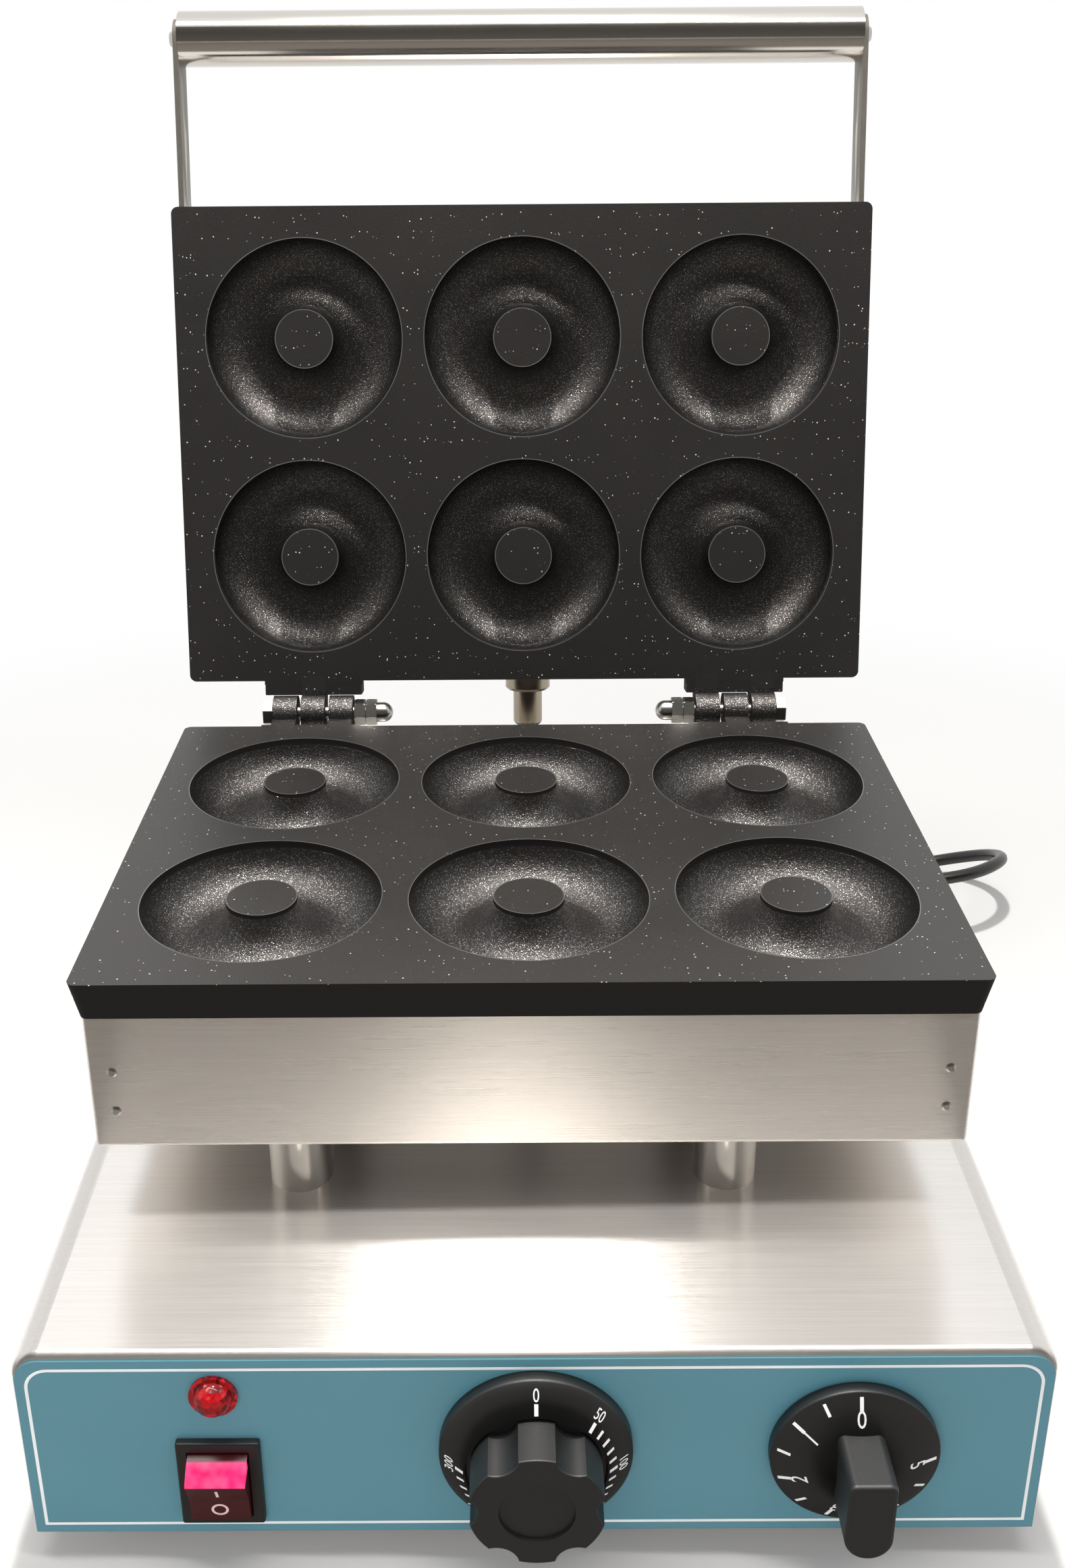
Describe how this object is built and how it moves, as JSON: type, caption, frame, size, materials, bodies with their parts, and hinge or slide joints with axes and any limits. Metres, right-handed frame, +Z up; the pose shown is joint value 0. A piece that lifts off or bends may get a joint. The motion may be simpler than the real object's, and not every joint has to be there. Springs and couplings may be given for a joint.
{
  "type": "donut maker",
  "caption": "Counter-top donut maker: hinged non-stick mould plates with ring cavities on a stainless base with thermostat, timer, rocker switch and lamp.",
  "frame": {"origin": "on the table under the middle of the open machine, cord left out", "axes": "+X to the user's right, +Y to the back, +Z up"},
  "size_m": [0.4288, 0.4929, 0.4671],
  "materials": {
    "stainless": "fine lengthwise brushing",
    "polished_steel": "polished",
    "fasteners": "bright zinc",
    "non_stick": "speckled non-stick coating on cast aluminium",
    "heating_element": "heat-dulled steel sheath",
    "bulb": "plain copper",
    "panel_blue": "satin blue print with a thin white border",
    "black_plastic": "satin black with white marks",
    "red_lens": "clear red",
    "red_rocker": "translucent red",
    "pale_plastic": "plain",
    "rubber": "matt",
    "brass_pins": "nickel over brass"
  },
  "bodies": {
    "base": {"base_shell": "stainless", "bottom_cover": "stainless", "column_bolts": "fasteners", "column_front_left": "polished_steel", "column_front_right": "polished_steel", "column_rear_left": "polished_steel", "column_rear_right": "polished_steel", "conduit_gland": "polished_steel", "control_panel": "panel_blue", "cord_coil": "rubber", "cord_strain_relief": "black_plastic", "cord_tail": "rubber", "cord_tie": "black_plastic", "foot_front_left": "rubber", "foot_front_right": "rubber", "foot_rear_left": "rubber", "foot_rear_right": "rubber", "foot_screws": "fasteners", "hinge_bolts": "fasteners", "hinge_cap_nuts": "fasteners", "hinge_nuts": "fasteners", "lamp_holder": "black_plastic", "lamp_lens": "red_lens", "lower_heater": "heating_element", "lower_heater_clamps": "fasteners", "lower_housing": "stainless", "lower_housing_rivets": "fasteners", "lower_mould_plate": "non_stick", "plug_body": "black_plastic", "plug_pins": "brass_pins", "power_cord": "rubber", "rear_panel": "stainless", "rear_panel_screws": "fasteners", "switch_housing": "black_plastic", "terminal_block": "pale_plastic", "thermostat_body": "black_plastic", "thermostat_bulb": "bulb", "thermostat_scale": "black_plastic", "timer_body": "black_plastic"},
    "lid": {"upper_housing": "stainless", "upper_mould_plate": "non_stick", "upper_heater": "heating_element", "upper_heater_clamps": "fasteners", "upper_housing_rivets": "fasteners", "handle_bar_left": "stainless", "handle_bar_right": "stainless", "handle_tube": "polished_steel", "handle_tube_plugs": "fasteners", "handle_tube_screws": "fasteners", "handle_bar_screws": "fasteners", "conduit_nut": "polished_steel", "conduit_ferrule": "polished_steel"},
    "thermostat_knob": {"thermostat_knob": "black_plastic", "thermostat_shaft": "fasteners"},
    "timer_knob": {"timer_knob": "black_plastic", "timer_shaft": "fasteners"},
    "rocker": {"switch_rocker": "red_rocker"}
  },
  "joints": [
    {"name": "lid_hinge", "type": "hinge", "parent": "base", "child": "lid", "pos_m": [0, 0.0964, 0.1804], "axis": [1, 0, 0], "range_deg": [0, 102]},
    {"name": "thermostat_turn", "type": "hinge", "parent": "base", "child": "thermostat_knob", "pos_m": [0.0005, -0.1903, 0.049], "axis": [0, 1, 0], "range_deg": [0, 260]},
    {"name": "timer_turn", "type": "hinge", "parent": "base", "child": "timer_knob", "pos_m": [0.099, -0.1903, 0.048], "axis": [0, 1, 0], "range_deg": [0, 265]},
    {"name": "rocker_tip", "type": "hinge", "parent": "base", "child": "rocker", "pos_m": [-0.0982, -0.1749, 0.0355], "axis": [-1, 0, 0], "range_deg": [0, 30]}
  ]
}
